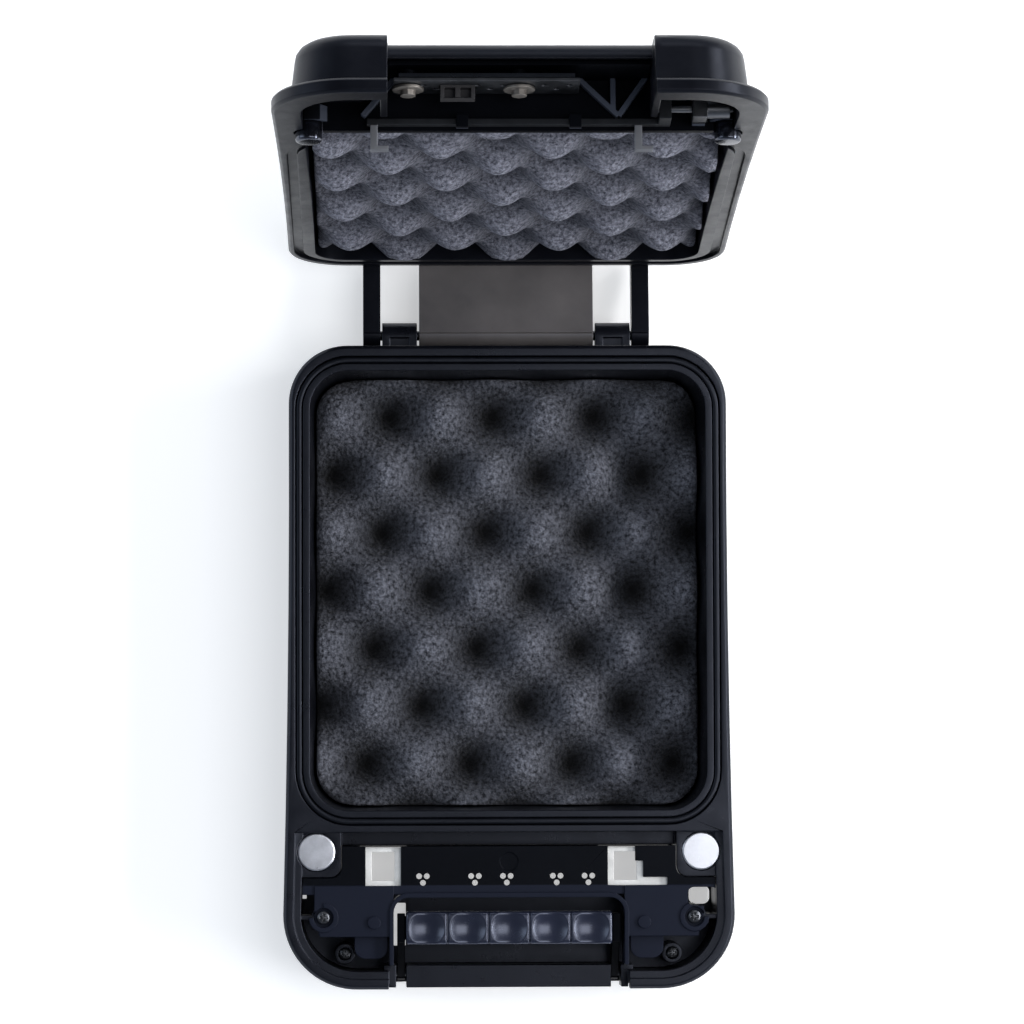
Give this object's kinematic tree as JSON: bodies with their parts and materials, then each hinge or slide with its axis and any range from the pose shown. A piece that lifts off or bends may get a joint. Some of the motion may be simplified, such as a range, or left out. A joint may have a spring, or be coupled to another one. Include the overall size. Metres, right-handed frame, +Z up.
{
  "type": "portable car safe",
  "caption": "Flat lockable travel case with a hinged lid, egg-crate foam, electronic latch and a swing handle, shown standing open.",
  "frame": {"origin": "middle of the base's underside", "axes": "+X to the right seen from the handle side, +Y towards the hinge, +Z up"},
  "size_m": [0.2044, 0.3976, 0.3082],
  "materials": {
    "shell": "satin black moulded polymer",
    "liner": "fine-textured black polymer",
    "satin": "satin dark grey polymer",
    "foam": "open-cell charcoal foam",
    "rubber": "soft black rubber",
    "bright_plate": "bright nickel plate",
    "steel": "dark zinc-plated steel",
    "board": "solder-mask green",
    "connector": "dull brownish grey",
    "battery": "shrink sleeve",
    "lens": "small clear red lens"
  },
  "bodies": {
    "base": {"base_shell": "shell", "rim_gasket": "rubber", "base_foam": "foam", "latch_deck": "liner", "strike_plate_left": "bright_plate", "strike_plate_right": "bright_plate", "deck_screw_left": "steel", "deck_screw_right": "steel", "deck_pin_left": "steel", "deck_pin_right": "steel", "closing_disc_left": "bright_plate", "closing_disc_right": "bright_plate", "hinge_pin_left": "steel", "hinge_pin_right": "steel", "handle_pin_left": "steel", "handle_pin_right": "steel", "rear_foot_left": "rubber", "rear_foot_right": "rubber", "front_foot_left": "rubber", "front_foot_right": "rubber"},
    "handle": {"handle_bar": "shell", "handle_grip": "rubber"},
    "lid": {"lid_shell": "shell", "hinge_flap": "satin", "bay_frame": "liner", "lid_foam": "foam", "closing_post_left": "shell", "closing_post_right": "shell", "latch_chassis": "steel", "chassis_screw_left": "connector", "chassis_screw_right": "connector", "lock_motor": "steel", "control_board": "board", "board_connector": "connector", "battery_pack": "battery", "battery_cover": "liner", "battery_cover_screw": "steel", "keypad_plate": "liner", "status_lens": "lens", "lock_housing": "bright_plate"},
    "latch": {"latch_slide": "steel"},
    "lead_screw": {"lead_screw": "bright_plate"},
    "key_plug": {"key_plug": "bright_plate"},
    "button_1": {"key_button_1": "rubber"},
    "button_2": {"key_button_2": "rubber"},
    "button_3": {"key_button_3": "rubber"},
    "button_4": {"key_button_4": "rubber"}
  },
  "joints": [
    {"name": "lid_hinge", "type": "hinge", "parent": "base", "child": "lid", "pos_m": [0, 0.153, 0.0151], "axis": [1, 0, 0], "range_deg": [0, 98]},
    {"name": "handle_swing", "type": "hinge", "parent": "base", "child": "handle", "pos_m": [0, -0.1395, 0.01], "axis": [1, 0, 0], "range_deg": [0, 125]},
    {"name": "latch_throw", "type": "slide", "parent": "lid", "child": "latch", "axis": [1, 0, 0], "range_m": [0, 0.005]},
    {"name": "lead_screw_spin", "type": "hinge", "parent": "lid", "child": "lead_screw", "pos_m": [0.0578, 0.22532, 0.25739], "axis": [1, 0, 0], "range_deg": [0, 360]},
    {"name": "key_turn", "type": "hinge", "parent": "lid", "child": "key_plug", "pos_m": [0.073, 0.24907, 0.26112], "axis": [0, 0.9903, -0.1392], "range_deg": [0, 90]},
    {"name": "button_1_press", "type": "slide", "parent": "lid", "child": "button_1", "axis": [0, -0.9903, 0.1392], "range_m": [0, 0.0012], "stiffness_N_per_m": 400},
    {"name": "button_2_press", "type": "slide", "parent": "lid", "child": "button_2", "axis": [0, -0.9903, 0.1392], "range_m": [0, 0.0012], "stiffness_N_per_m": 400},
    {"name": "button_3_press", "type": "slide", "parent": "lid", "child": "button_3", "axis": [0, -0.9903, 0.1392], "range_m": [0, 0.0012], "stiffness_N_per_m": 400},
    {"name": "button_4_press", "type": "slide", "parent": "lid", "child": "button_4", "axis": [0, -0.9903, 0.1392], "range_m": [0, 0.0012], "stiffness_N_per_m": 400}
  ],
  "couplings": [
    {"joint": "lead_screw_spin", "follows": "latch_throw", "rad_per_m": 1250}
  ]
}
